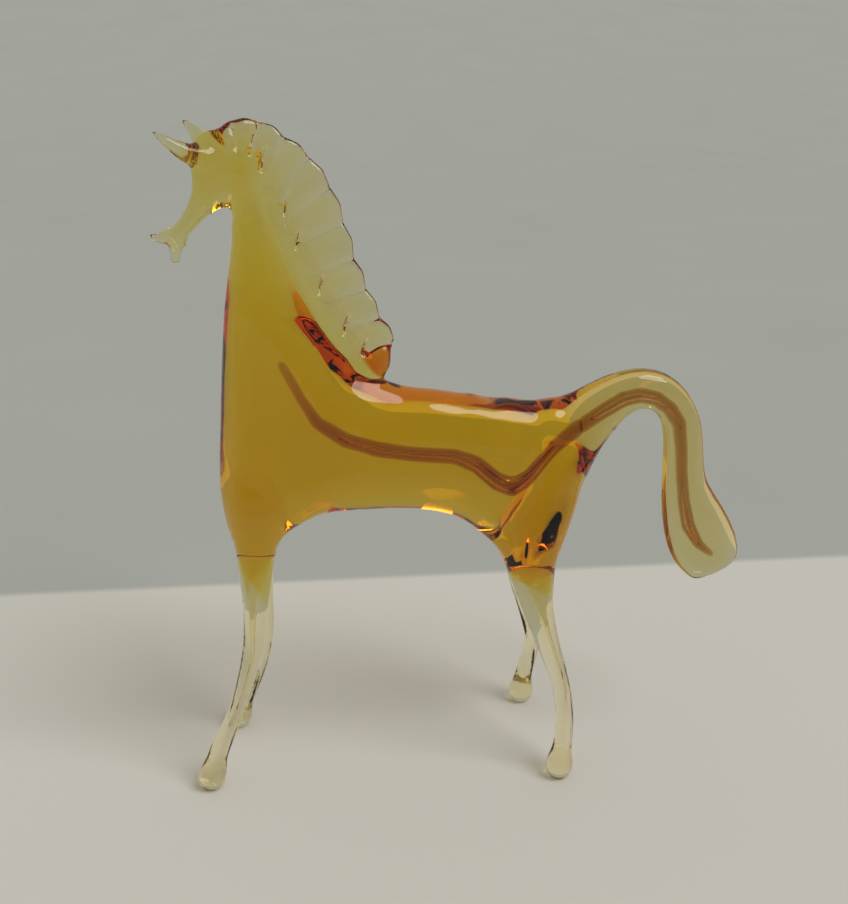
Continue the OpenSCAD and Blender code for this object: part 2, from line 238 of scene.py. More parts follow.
def cad_triangles(names):
    """Corner points in millimetres and triangles of some CAD nodes, welded."""
    points, triangles, start = [], [], 0
    for name in names:
        mesh = frame["nodes"][name].data
        mesh.calc_loop_triangles()
        p = np.empty(len(mesh.vertices) * 3, np.float32)
        mesh.vertices.foreach_get("co", p)
        t = np.empty(len(mesh.loop_triangles) * 3, np.int32)
        mesh.loop_triangles.foreach_get("vertices", t)
        points.append(p.reshape(-1, 3) / MM)
        triangles.append(t.reshape(-1, 3) + start)
        start += len(mesh.vertices)
    points, triangles = np.concatenate(points), np.concatenate(triangles)
    _, keep, back = np.unique(np.round(points, 4), axis=0, return_index=True, return_inverse=True)
    triangles = back.reshape(-1)[triangles]
    whole = (
        (triangles[:, 0] != triangles[:, 1])
        & (triangles[:, 1] != triangles[:, 2])
        & (triangles[:, 0] != triangles[:, 2]))
    return points[keep], triangles[whole].astype(np.uint32)


def distance_grid(points, faces, cell):
    """Signed distance to a closed mesh of triangles or squares."""
    kind = {"triangles": faces} if faces.shape[1] == 3 else {"quads": faces}
    return openvdb.FloatGrid.createLevelSetFromPolygons(
        points.astype(np.float32), transform=openvdb.createLinearTransform(voxelSize=cell),
        halfWidth=BAND, **kind)


def blur(values, sigma, axes=(0, 1, 2)):
    """Gaussian blur over sigma cells, along some of the axes."""
    reach = max(1, int(math.ceil(BLUR_REACH * sigma)))
    taps = np.exp(-0.5 * (np.arange(-reach, reach + 1) / sigma) ** 2)
    taps = (taps / taps.sum()).astype(np.float32)
    for axis in axes:
        widths = [(0, 0)] * 3
        widths[axis] = (reach, reach)
        padded = np.pad(values, widths, mode="edge")
        out = np.zeros_like(values)
        size = values.shape[axis]
        for k, tap in enumerate(taps):
            cut = [slice(None)] * 3
            cut[axis] = slice(k, k + size)
            out += tap * padded[tuple(cut)]
        values = out
    return values


def melted(names, melt):
    """Distance to some CAD nodes joined into one lump and rounded by the flame, with its cells."""
    field = made["field"]
    cell = field.cell
    lo = np.min([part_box(n)[0] for n in names], axis=0) / MM - MARGIN
    hi = np.max([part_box(n)[1] for n in names], axis=0) / MM + MARGIN
    cells, coordinates = field.window(lo, hi)
    size = [c.stop - c.start for c in cells]
    start = [int(field.first[k] + cells[k].start) for k in range(3)]
    joined = distance_grid(*cad_triangles(names), cell)
    # the joined lump still holds the walls between the nodes; its outer skin doesn't
    skin_points, skin_quads = joined.convertToQuads(isovalue=0.0)
    clean = distance_grid(skin_points, skin_quads.astype(np.uint32)[:, ::-1], cell)
    values = np.empty(size, np.float32)
    clean.copyToArray(values, ijk=start)
    return cells, coordinates, blur(values, melt / cell)


def fillet_depth(first, second, fillet):
    """How far a fillet moves the surface where two distances meet: a quarter of it at most."""
    blend = np.maximum(fillet - np.abs(first - second), 0) / fillet
    return blend * blend * fillet / 4


def fuse(cells, values, fillet):
    """Joins glass to what the field holds, with a smooth fillet."""
    held = made["field"].values[cells]
    made["field"].values[cells] = np.minimum(held, values) - fillet_depth(held, values, fillet)


def height_above(flat, corners):
    """Height of profile points [x, z] to the left of a smooth line through some corners."""
    corners = np.array(corners, float)
    line = []
    for i in range(len(corners) - 1):
        p0, p1 = corners[max(0, i - 1)], corners[i]
        p2, p3 = corners[i + 1], corners[min(len(corners) - 1, i + 2)]
        for t in np.arange(0, 1, PROFILE_STEP):
            line.append(0.5 * (2 * p1 + (p2 - p0) * t + (2 * p0 - 5 * p1 + 4 * p2 - p3) * t * t
                               + (3 * p1 - p0 - 3 * p2 + p3) * t ** 3))
    line = np.array(line + [corners[-1]])
    best = np.full(len(flat), FAR_AWAY)
    height = np.full(len(flat), -FAR_AWAY)
    for a, b in zip(line[:-1], line[1:]):
        run = b - a
        share = np.clip((flat - a) @ run / (run @ run), 0, 1)
        away = flat - a - share[:, None] * run
        reach = np.hypot(away[:, 0], away[:, 1])
        side = np.sign(away[:, 0] * -run[1] + away[:, 1] * run[0])
        closer = reach < best
        best[closer] = reach[closer]
        height[closer] = (side * reach)[closer]
    return height


def depth_behind(line, inwards, coordinates):
    """Depth of the cells behind a profile line; inwards is 1 if the glass lies to its left."""
    x, _, z = coordinates
    flat_x, flat_z = np.broadcast_arrays(x[:, 0], z[0])
    flat = np.stack([flat_x.ravel(), flat_z.ravel()], 1).astype(np.float64)
    return inwards * height_above(flat, line).reshape(flat_x.shape)[:, None, :]


def thin_edge(coordinates, values, line, inwards, edge, slopes, fillet):
    """Thins a lump towards a profile line by bringing both its faces together.

    At the line half the thickness is the edge's. The slopes are pairs of a height z and the
    rise of each face per millimetre from the line.
    """
    x, y, z = coordinates
    depth = np.maximum(depth_behind(line, inwards, coordinates) + EDGE_LEAD, 0)
    rise = np.interp(z.ravel(), *np.array(slopes, float).T).reshape(z.shape)
    limit = edge + np.sqrt(depth + (rise * depth) ** 2)
    cut = (np.abs(y) - limit) / np.sqrt(1 + rise ** 2)
    # the cut dies out before the line's last corner, so nothing past it is thinned
    past = np.clip(x - line[-1][0] + EDGE_FADE, 0, None)
    cut = (cut - EDGE_FADE_RISE * past).astype(np.float32)
    return np.maximum(values, cut) + fillet_depth(values, cut, fillet)


def round_edge(coordinates, values, line, inwards, radii, fillet):
    """Fills a lump out to a round edge behind a profile line.

    The radii are pairs of a height z and a radius.
    """
    _, y, z = coordinates
    depth = depth_behind(line, inwards, coordinates)
    radius = np.interp(z.ravel(), *np.array(radii, float).T, left=0, right=0).reshape(z.shape)
    edge = (np.hypot(np.maximum(depth, -ROUND_FRONT) - radius, y) - radius).astype(np.float32)
    # the round edge sinks back into the lump over its last few millimetres at each end
    ends = (np.clip(radii[0][0] + ROUND_END - z, 0, None)
            + np.clip(z - radii[-1][0] + ROUND_END, 0, None)) * ROUND_END_RISE
    edge = edge + ends.astype(np.float32)
    return np.minimum(values, edge) - fillet_depth(values, edge, fillet)


def press(centre, reach, depth):
    """Pushes the surface in by depth round a centre, or out if the depth is negative."""
    field = made["field"]
    centre, reach = np.array(centre, float), np.array(reach, float)
    cells, grid = field.window(centre - DENT_END * reach, centre + DENT_END * reach)
    far = sum(((grid[k] - centre[k]) / reach[k]) ** 2 for k in range(3))
    field.values[cells] += depth * np.exp(-far)


def press_line(a, b, reach, depth, side=0):
    """Presses a groove between two profile points [x, z].

    It is on both faces, or on one if side is 1 or -1.
    """
    field = made["field"]
    a, b = np.array(a, float), np.array(b, float)
    lo, hi = np.minimum(a, b) - DENT_END * reach, np.maximum(a, b) + DENT_END * reach
    cells, (x, y, z) = field.window((lo[0], -GROOVE_HALF, lo[1]), (hi[0], GROOVE_HALF, hi[1]))
    run = b - a
    share = np.clip(((x - a[0]) * run[0] + (z - a[1]) * run[1]) / (run @ run), 0, 1)
    away = (x - a[0] - share * run[0]) ** 2 + (z - a[1] - share * run[1]) ** 2
    groove = depth * np.exp(-away / reach ** 2)
    if side:
        groove = groove / (1 + np.exp(-side * y / GROOVE_SIDE))
    field.values[cells] += groove


# ---------------------------------------------------------------- the skin and its pieces

class Skin:
    """Triangles with a normal at each point and an index of refraction for each triangle."""

    def __init__(self, points, normals, triangles, index):
        self.points, self.normals, self.triangles, self.index = points, normals, triangles, index


def skin_of_field():
    """The surface of the whole glass, with its points settled on the field."""
    field = made["field"]
    grid = openvdb.FloatGrid(BAND * field.cell)
    grid.copyFromArray(field.values, ijk=[int(k) for k in field.first], tolerance=0.0)
    grid.transform = openvdb.createLinearTransform(voxelSize=field.cell)
    points, quads = grid.convertToQuads(isovalue=0.0)
    points, quads = points.astype(np.float64), quads.astype(np.int64)
    for _ in range(SETTLE_STEPS):
        slope = field.slope(points)
        steep = np.maximum((slope ** 2).sum(1), FLATTEST)
        step = np.clip(field.at(points) / steep, -SETTLE_LIMIT, SETTLE_LIMIT)
        points -= step[:, None] * slope
    normals = field.slope(points)
    normals /= np.maximum(np.linalg.norm(normals, axis=1), 1e-9)[:, None]
    # each square is split along its shorter diagonal
    a, b, c, d = quads.T
    short = (
        ((points[a] - points[c]) ** 2).sum(1)
        <= ((points[b] - points[d]) ** 2).sum(1))[:, None]
    first = np.where(short, np.stack([a, b, c], 1), np.stack([a, b, d], 1))
    second = np.where(short, np.stack([a, c, d], 1), np.stack([b, c, d], 1))
    triangles = np.concatenate([first, second])
    index = bpy.context.scene.horse_glass.index
    return Skin(points, normals, triangles, np.full(len(triangles), index))


def cut_off(skin, height, facing):
    """The part of a skin where height is above zero, closed by a see-through cap facing one way."""
    height = np.where(np.abs(height) < ON_PLANE, ON_PLANE, height)
    inside = height > 0
    t = skin.triangles
    count = inside[t].sum(1)
    whole = t[count == 3]
    whole_index = skin.index[count == 3]

    def turned(rows, odd):
        """The rows with their one odd corner first."""
        k = np.argmax(odd, 1)[:, None]
        return np.take_along_axis(rows, (k + np.arange(3)) % 3, 1)

    one, two = t[count == 1], t[count == 2]
    one = turned(one, inside[one]) if len(one) else one
    two = turned(two, ~inside[two]) if len(two) else two
    pairs = np.concatenate([one[:, [0, 1]], one[:, [0, 2]], two[:, [0, 1]], two[:, [0, 2]]])
    if not len(pairs):
        kept, back = np.unique(whole, return_inverse=True)
        return Skin(skin.points[kept], skin.normals[kept], back.reshape(-1, 3), whole_index)
    ordered = np.sort(pairs, 1)
    unique, back = np.unique(ordered, axis=0, return_inverse=True)
    back = back.reshape(-1)
    h0, h1 = height[unique[:, 0]], height[unique[:, 1]]
    share = (h0 / (h0 - h1))[:, None]
    new_points = skin.points[unique[:, 0]] * (1 - share) + skin.points[unique[:, 1]] * share
    new_normals = skin.normals[unique[:, 0]] * (1 - share) + skin.normals[unique[:, 1]] * share
    new_normals /= np.linalg.norm(new_normals, axis=1)[:, None]
    base = len(skin.points)
    n1, n2 = len(one), len(two)
    one_b, one_c = back[:n1] + base, back[n1:2 * n1] + base
    two_b, two_c = back[2 * n1:2 * n1 + n2] + base, back[2 * n1 + n2:] + base
    rims = np.concatenate([
        np.stack([one[:, 0], one_b, one_c], 1),
        np.stack([two_b, two[:, 1], two[:, 2]], 1),
        np.stack([two_b, two[:, 2], two_c], 1)])
    rim_index = np.concatenate([
        skin.index[count == 1], skin.index[count == 2], skin.index[count == 2]])
    points = np.concatenate([skin.points, new_points])
    normals = np.concatenate([skin.normals, new_normals])
    edges = np.concatenate([np.stack([one_b, one_c], 1), np.stack([two_c, two_b], 1)])
    cap = closed_cap(points, edges, facing)
    triangles = np.concatenate([whole, rims, cap])
    index = np.concatenate([whole_index, rim_index, np.full(len(cap), AIR_INDEX)])
    kept, back = np.unique(triangles, return_inverse=True)
    return Skin(points[kept], normals[kept], back.reshape(-1, 3), index)


def closed_cap(points, edges, facing):
    """Triangles that close the loops which the edges make, facing one way."""
    used, back = np.unique(edges, return_inverse=True)
    back = back.reshape(-1, 2)
    bm = bmesh.new()
    verts = [bm.verts.new(Vector(p)) for p in points[used]]
    bm.verts.index_update()
    loop_edges = []
    for a, b in back:
        if a == b:
            continue
        edge = bm.edges.get((verts[a], verts[b])) or bm.edges.new((verts[a], verts[b]))
        loop_edges.append(edge)
    bmesh.ops.triangle_fill(bm, use_beauty=True, use_dissolve=False, edges=loop_edges,
                            normal=Vector(facing))
    rows = []
    for face in bm.faces:
        corners = [v.index for v in face.verts]
        normal = face.normal
        if normal.length < 1e-9:
            face.normal_update()
            normal = face.normal
        rows.append(corners if normal.dot(Vector(facing)) >= 0 else corners[::-1])
    bm.free()
    if not rows:
        raise RuntimeError("a joint between two pieces of glass could not be closed")
    return used[np.array(rows)]


def half_ball(points, centre, direction, reach):
    """Above zero past a plane through the centre, no further from it than reach."""
    away = points - np.array(centre, float)
    direction = np.array(direction, float) / np.linalg.norm(direction)
    return np.minimum(away @ direction, reach - np.linalg.norm(away, axis=1)), direction


def plane(centre, direction):
    """Height of the skin's points above a plane, and the plane's direction."""
    direction = np.array(direction, float) / np.linalg.norm(direction)
    return (made["skin"].points - np.array(centre, float)) @ direction, direction


def seam(top, bottom, towards):
    """A plane across the horse through two profile points [x, z], facing one way along x or z."""
    run_x, run_z = top[0] - bottom[0], top[1] - bottom[1]
    normal = np.array([run_z, 0, -run_x]) / math.hypot(run_x, run_z)
    if normal @ np.array([towards[0], 0, towards[1]]) < 0:
        normal = -normal
    return plane(((top[0] + bottom[0]) / 2, 0, (top[1] + bottom[1]) / 2), normal)


def take(name, height, direction):
    """Takes a piece off the skin, where height is above zero, and closes both sides of the cut."""
    skin = made["skin"]
    piece = cut_off(skin, height - JOINT_GAP / 2, -direction)
    if len(piece.triangles) < LEAST_PIECE:
        raise RuntimeError(f"no glass was found for {name}")
    made["skin"] = cut_off(skin, -height - JOINT_GAP / 2, direction)
    made["pieces"][name] = piece


def part(name, other, axis):
    """Divides a piece into name, below zero on the axis, and other, above it."""
    skin = made["pieces"].pop(name)
    facing = np.eye(3)[axis]
    made["pieces"][name] = cut_off(skin, -skin.points[:, axis] - JOINT_GAP / 2, facing)
    made["pieces"][other] = cut_off(skin, skin.points[:, axis] - JOINT_GAP / 2, -facing)


def glass_mesh(name, skin):
    """A mesh with the skin's own normals, flat across the joints."""
    mesh = bpy.data.meshes.new(name + "_glass")
    count = len(skin.triangles)
    mesh.vertices.add(len(skin.points))
    mesh.vertices.foreach_set("co", (skin.points * MM).astype(np.float32).ravel())
    mesh.loops.add(count * 3)
    mesh.loops.foreach_set("vertex_index", skin.triangles.astype(np.int32).ravel())
    mesh.polygons.add(count)
    mesh.polygons.foreach_set("loop_start", np.arange(0, count * 3, 3, dtype=np.int32))
    mesh.polygons.foreach_set("use_smooth", np.ones(count, bool))
    mesh.update(calc_edges=True)
    mesh.attributes.new("glass_index", "FLOAT", "FACE").data.foreach_set(
        "value", skin.index.astype(np.float32))
    corners = skin.normals[skin.triangles]
    sides = skin.points[skin.triangles]
    flat = np.cross(sides[:, 1] - sides[:, 0], sides[:, 2] - sides[:, 0])
    flat /= np.maximum(np.linalg.norm(flat, axis=1), 1e-12)[:, None]
    cap = skin.index == AIR_INDEX
    corners[cap] = flat[cap][:, None, :]
    mesh.normals_split_custom_set(corners.reshape(-1, 3).astype(np.float32))
    return mesh


def set_piece(name, mesh, material):
    """Puts a node's glass in the scene, in place of the node."""
    mesh.materials.append(material)
    obj = bpy.data.objects.new(name + "_glass", mesh)
    bpy.context.scene.collection.objects.link(obj)
    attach(obj, "root")
    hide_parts(name)


# ---------------------------------------------------------------- materials

# Scale of each pattern per metre, from its size in millimetres
WAVE_SCALE = 1000 / 9
CORD_SCALE = 1000 / 2
FIBRE_SCALE = 1000 / 1.5
FOLD_SHADE_SCALE = 1000 / 160


def empty_tree(owner):
    """The node tree of a new material or world, with nothing in it."""
    owner.use_nodes = True
    owner.node_tree.nodes.clear()
    return owner.node_tree


def add_node(tree, kind, settings=None, links=None):
    """Adds one node, sets its properties or inputs by name, and links its inputs."""
    node = tree.nodes.new(kind)
    for key, value in (settings or {}).items():
        if isinstance(key, str) and hasattr(node, key):
            setattr(node, key, value)
        else:
            node.inputs[key].default_value = value
    for key, socket in (links or {}).items():
        tree.links.new(socket, node.inputs[key])
    return node


def colour_through(tree, shader, tint, strength):
    """Finishes a glass: it has no colour on its skin, and takes it from the depth of the glass."""
    absorb = add_node(tree, "ShaderNodeVolumeAbsorption",
                      {"Color": (*tint, 1), "Density": strength})
    add_node(tree, "ShaderNodeOutputMaterial", None,
             {"Surface": shader.outputs["BSDF"], "Volume": absorb.outputs["Volume"]})


def fire_polished_glass(name, tint, strength):
    """Solid soda-lime glass, its skin left by the flame and never ground."""
    material = bpy.data.materials.new(name)
    tree = empty_tree(material)
    glass = bpy.context.scene.horse_glass
    place = add_node(tree, "ShaderNodeTexCoord")
    # slow waves 9 mm long, left where the gather chilled: they bend what is seen through the glass
    waves = add_node(tree, "ShaderNodeTexNoise",
                     {"Scale": WAVE_SCALE, "Detail": 1.0, "Roughness": 0.4},
                     {"Vector": place.outputs["Object"]})
    # cords 2 mm apart, too faint to see except where light grazes the skin
    cords = add_node(tree, "ShaderNodeTexNoise", {"Scale": CORD_SCALE, "Detail": 2.0},
                     {"Vector": place.outputs["Object"]})
    low = add_node(tree, "ShaderNodeBump", {"Strength": 0.10, "Distance": 0.0004},
                   {"Height": waves.outputs["Fac"]})
    high = add_node(tree, "ShaderNodeBump", {"Strength": 0.03, "Distance": 0.0001},
                    {"Height": cords.outputs["Fac"], "Normal": low.outputs["Normal"]})
    # the flame leaves the faintest bloom on the crests of the waves
    bloom = add_node(tree, "ShaderNodeMapRange",
                     {"From Min": 0.35, "From Max": 0.75, "To Min": 0.0, "To Max": 0.02},
                     {"Value": waves.outputs["Fac"]})
    shader = add_node(
        tree, "ShaderNodeBsdfPrincipled",
        {"Base Color": (1, 1, 1, 1), "Transmission Weight": 1.0, "Roughness": 0.0,
         "IOR": glass.index},
        {"Normal": high.outputs["Normal"], "Roughness": bloom.outputs["Result"]})
    # a joint between two gathers has no surface left, so light goes straight through it
    joint = add_node(tree, "ShaderNodeAttribute", {"attribute_name": "glass_index"})
    tree.links.new(joint.outputs["Fac"], shader.inputs["IOR"])
    colour_through(tree, shader, tint, strength)
    return material


def cased_thread_glass(name, tint, strength):
    """Brown glass sealed inside amber glass of the same index: it has colour but no surface."""
    material = bpy.data.materials.new(name)
    tree = empty_tree(material)
    shader = add_node(tree, "ShaderNodeBsdfPrincipled",
                      {"Base Color": (1, 1, 1, 1), "Transmission Weight": 1.0, "Roughness": 0.0,
                       "IOR": AIR_INDEX})
    colour_through(tree, shader, tint, strength)
    return material


def paper_cloth_and_shade():
    """Smooth uncoated paper over grey cotton cloth: both matt, the paper with faint fibres. The
    cloth grey in front of the paper is painted shade.
    """
    stage = bpy.context.scene.horse_stage
    material = bpy.data.materials.new("uncoated_paper_cloth_and_painted_shade")
    tree = empty_tree(material)
    place = add_node(tree, "ShaderNodeTexCoord")
    split = add_node(tree, "ShaderNodeSeparateXYZ", None, {"Vector": place.outputs["Object"]})
    # the sheet's long edges lie in front of and behind the horse, and end softly where they curl;
    # the cloth grey past the front edge is painted shade, which darkens what the glass shows from
    # in front
    half = (stage.paper_depth + stage.front_shade_edge) / 2
    middle = add_node(tree, "ShaderNodeMath",
                      {"operation": "SUBTRACT", 1: stage.paper_depth - half},
                      {0: split.outputs["Y"]})
    away = add_node(tree, "ShaderNodeMath", {"operation": "ABSOLUTE"}, {0: middle.outputs["Value"]})
    edge = add_node(tree, "ShaderNodeMapRange",
                    {"interpolation_type": "SMOOTHSTEP", "From Min": half - 0.004,
                     "From Max": half + 0.003},
                    {"Value": away.outputs["Value"]})
    fibres = add_node(tree, "ShaderNodeTexNoise", {"Scale": FIBRE_SCALE, "Detail": 3.0},
                      {"Vector": place.outputs["Object"]})
    # darker patches 160 mm across on the cloth, up to six parts in a hundred: painted shade of
    # folds on a flat floor
    fold_shade = add_node(tree, "ShaderNodeTexNoise", {"Scale": FOLD_SHADE_SCALE, "Detail": 1.0},
                     {"Vector": place.outputs["Object"]})
    cloth = add_node(tree, "ShaderNodeMix",
                     {"data_type": "RGBA", 6: (*[c * 0.94 for c in stage.cloth], 1),
                      7: (*stage.cloth, 1)},
                     {0: fold_shade.outputs["Fac"]})
    paper = add_node(tree, "ShaderNodeMix",
                     {"data_type": "RGBA", 6: (*[c * 0.98 for c in stage.paper], 1),
                      7: (*stage.paper, 1)},
                     {0: fibres.outputs["Fac"]})
    # cloth grey on both sides of the paper: behind it the backdrop, in front of it painted shade
    colour = add_node(tree, "ShaderNodeMix", {"data_type": "RGBA"},
                      {0: edge.outputs["Result"], 6: paper.outputs[2], 7: cloth.outputs[2]})
    tooth = add_node(tree, "ShaderNodeBump", {"Strength": 0.1, "Distance": 0.00005},
                     {"Height": fibres.outputs["Fac"]})
    shader = add_node(tree, "ShaderNodeBsdfPrincipled",
                      {"Roughness": 0.9, "Specular IOR Level": 0.2},
                      {"Base Color": colour.outputs[2], "Normal": tooth.outputs["Normal"]})
    add_node(tree, "ShaderNodeOutputMaterial", None, {"Surface": shader.outputs["BSDF"]})
    return material


# ---------------------------------------------------------------- operators

# Middle and radius of each leg, from the foot up: [x, z, y, radius]
LEG_LINES = (
    ((-89.5, 4, -19, 3.5), (-85, 17, -16.4, 3.4), (-78.3, 31.5, -14.2, 3.2),
     (-72.8, 50, -11.2, 3.9), (-71.6, 70, -8.2, 5.0), (-71.1, 80, -7, 6.1),
     (-70.8, 90, -6.6, 6.3), (-70.5, 100, -6.4, 6.0)),
    ((-82, 4, 19, 3.5), (-77.4, 17, 16.4, 3.4), (-72.4, 31.5, 14.2, 3.2),
     (-70.1, 50, 11.2, 3.9), (-70.9, 70, 8.2, 5.0), (-71, 80, 7, 6.1),
     (-70.8, 90, 6.6, 6.3), (-70.5, 100, 6.4, 6.0)),
    ((30.8, 4, -25, 3.6), (32.8, 14.5, -22.7, 3.4), (32.4, 29.5, -18.8, 3.3),
     (27.8, 46, -15.1, 4.0), (22.8, 65.5, -11.1, 6.3), (21.2, 76, -9.7, 8.0),
     (24.6, 87, -9, 7.3), (28.8, 98, -8.5, 5.1)),
    ((26.4, 4, 25, 3.6), (27.5, 14.5, 22.7, 3.4), (28.8, 29.5, 18.8, 3.2),
     (26.4, 46, 15.1, 4.0), (22.6, 65.5, 11.1, 6.3), (21.2, 76, 9.7, 8.0),
     (24.6, 87, 9, 7.3), (28.8, 98, 8.5, 5.1)))
LEG_ROOT = 4          # the point of each leg above which it runs on inside the body
# The lines pulled along the legs: [z where they start, length over which they deepen]
FLUTE_START = (7, 6)
FLUTE_END = (76, 25)  # [z where they have faded out, length over which they fade]
FLUTE_REACH = 5       # mm from a leg's middle within which they are at their full depth
FLUTE_TWIST = 0.02    # turn in radians per mm, left by twisting the rod
# Where the tweezers crimped the mane: [rim, foot], each a profile point [x, z]
MANE_CRIMPS = (
    ((-71.4, 218.6), (-70.0, 213.0)), ((-63.8, 219.0), (-64.5, 208.5)),
    ((-56.9, 214.8), (-61.5, 203.0)), ((-50.0, 209.0), (-59.0, 196.5)),
    ((-43.9, 200.3), (-56.8, 190.5)), ((-40.2, 189.5), (-54.0, 183.0)),
    ((-37.2, 178.5), (-50.0, 174.0)), ((-33.6, 168.6), (-45.0, 165.0)),
    ((-29.4, 159.4), (-40.0, 156.5)), ((-24.6, 151.5), (-33.0, 148.0)))
CRIMP_REACH = 0.9     # half width of the groove that the tweezers left
PUFF_REACH = 2.2      # half width of the swell between two crimps
PUFF_SHARE = 0.25     # how far it swells, as a share of the crimps' depth
NOTCH_REACH, NOTCH_SHARE, NOTCH_RUN = 0.8, 0.4, 0.12  # the dip where a crimp meets the rim
# The tweezers' bite on the crest: reach and depth of its upper stroke and of its deep end
UPPER_BITE, DEEP_BITE = (0.8, 0.9), (0.6, 1.3)
# Where each bite is deepest: [x, z, length]
TWEEZER_MARKS = ((-66.2, 213.5, 2.6), (-63.1, 209.0, 3.4), (-56.8, 195.5, 3.2), (-53.5, 184.8, 2.4),
                 (-46.9, 170.6, 2.4), (-39.3, 157.5, 2.8), (-33.5, 150.5, 2.0))
# Centre, reach and depth of each dent, in millimetres; a negative depth stands proud
TOOL_MARKS = (
    ((8.7, 0, 132.5), (4.2, 6.0, 3.0), 1.6),
    ((3.0, 0, 134.6), (2.0, 5.0, 1.6), -0.7),
    ((10.9, -9, 87.6), (3.0, 4.0, 3.0), 1.1),
    ((-82.5, -5.0, 209.6), (1.6, 1.6, 3.0), 0.7),
    ((33.0, -6, 118.5), (3.5, 3.0, 1.8), 0.8))

# Profile points [x, z] along the top of the head, the crest of the neck and the withers
CREST = ((-98, 222.5), (-84, 220.4), (-77, 219.2), (-70.5, 218.3), (-64.8, 212.0),
         (-61.2, 199.0), (-55.8, 186.0), (-48.6, 171.0), (-40.5, 154.5), (-31.5, 142.0),
         (-24.5, 138.2), (-19.5, 136.6))
# Profile points [x, z] down the throat and the breast
BREAST = ((-72.6, 199.0), (-72.8, 191.5), (-73.3, 184.0), (-74.8, 175.0), (-76.8, 163.0),
          (-78.6, 145.0), (-80.2, 125.0), (-81.4, 105.0), (-79.0, 90.0))
# Radius of the rounded breast: [z, radius]
BREAST_ROUND = ((88, 9.0), (98, 12.4), (110, 12.8), (125, 12.4), (145, 11.2), (163, 9.6),
                (175, 8.2), (186, 7.0), (194, 6.0))
BREAST_FILLET = 2.0
# How steeply the faces rise from the crest: [z, rise]; three or more leaves the lump as it is
CREST_RISE = ((134, 4.0), (140, 1.6), (148, 0.75), (158, 0.5), (170, 0.4), (200, 0.42),
              (210, 0.9), (216, 3.0))
CREST_EDGE, CREST_FILLET = 1.3, 3.0
CREST_MARGIN = 0.6    # mm that the neck's own fillet stands above its crest
MANE_BACK = -21       # x behind which nothing is mane
MANE_FACING = (0.87, 0.0, 0.49)
FOOT_CUT, FOOT_REACH = 0.6, 14   # mm below a foot's top that it is parted, and how far it reaches
BODY_NODES = ("neck_and_chest", "barrel", "croup", "head")
TAIL_NODES = ("tail_root", "tail_arch", "tail_fall", "tail_paddle")


class HORSE_OT_gather(bpy.types.Operator):
    """Body, neck and head, one thick gather of amber glass"""
    bl_idname = "horse.gather"
    bl_label = "Gather"

    def execute(self, context):
        shape = context.scene.horse_shape
        made.clear()
        made["field"] = Field(shape.cell / MM)
        cells, coordinates, values = melted(BODY_NODES, shape.body_melt / MM)
        values = round_edge(coordinates, values, BREAST, 1, BREAST_ROUND, BREAST_FILLET)
        values = thin_edge(coordinates, values, CREST, -1, CREST_EDGE, CREST_RISE, CREST_FILLET)
        fuse(cells, values, shape.limb_fillet / MM)
        return {"FINISHED"}


class HORSE_OT_tail(bpy.types.Operator):
    """Tail, pulled out of the rump and flattened at its end"""
    bl_idname = "horse.tail"
    bl_label = "Tail"

    def execute(self, context):
        shape = context.scene.horse_shape
        cells, _, values = melted(TAIL_NODES, shape.tail_melt / MM)
        fuse(cells, values, shape.limb_fillet / MM)
        return {"FINISHED"}


class HORSE_OT_legs(bpy.types.Operator):
    """Four pulled legs and the balls they end in"""
    bl_idname = "horse.legs"
    bl_label = "Legs"

    def execute(self, context):
        shape = context.scene.horse_shape
        names = [f"{side}_{end}_" for side in ("near", "far") for end in ("fore", "hind")]
        cells, (x, y, z), values = melted([name + "leg" for name in names], shape.leg_melt / MM)
        offsets = []
        for line in LEG_LINES:
            line = np.array(line, float)
            middle_x, middle_y, radius = (
                np.interp(z.ravel(), line[:, 1], line[:, k]).reshape(z.shape) for k in (0, 2, 3))
            off_x, off_y = x - middle_x, y - middle_y
            offsets.append((off_x, off_y))
            root = np.maximum(np.hypot(off_x, off_y) - radius,
                              np.maximum(line[LEG_ROOT, 1] - z, z - line[-1, 1]))
            values = np.minimum(values, root.astype(np.float32))
        # pulling drew every swelling out along the leg
        values = blur(values, shape.leg_draw / shape.cell, axes=(2,))
        # the lines run down each leg and turn a little, as the rod was twisted while it was pulled
        for off_x, off_y in offsets:
            near = np.exp(-np.maximum(np.hypot(off_x, off_y) - FLUTE_REACH, 0) ** 2 / 4)
            along = (np.clip((z - FLUTE_START[0]) / FLUTE_START[1], 0, 1)
                     * np.clip((FLUTE_END[0] - z) / FLUTE_END[1], 0, 1))
            turn = np.arctan2(off_y, off_x) + z * FLUTE_TWIST
            # two waves round the leg that don't repeat together, as no two lines are alike
            wave = np.cos(5 * turn) + 0.6 * np.cos(3 * turn + 1.3 + z * 0.03)
            values += (shape.flute_depth / MM * wave * along * near).astype(np.float32)
        fuse(cells, values, shape.limb_fillet / MM)
        cells, _, values = melted([name + "foot" for name in names], shape.trim_melt / MM)
        fuse(cells, values, shape.foot_fillet / MM)
        return {"FINISHED"}


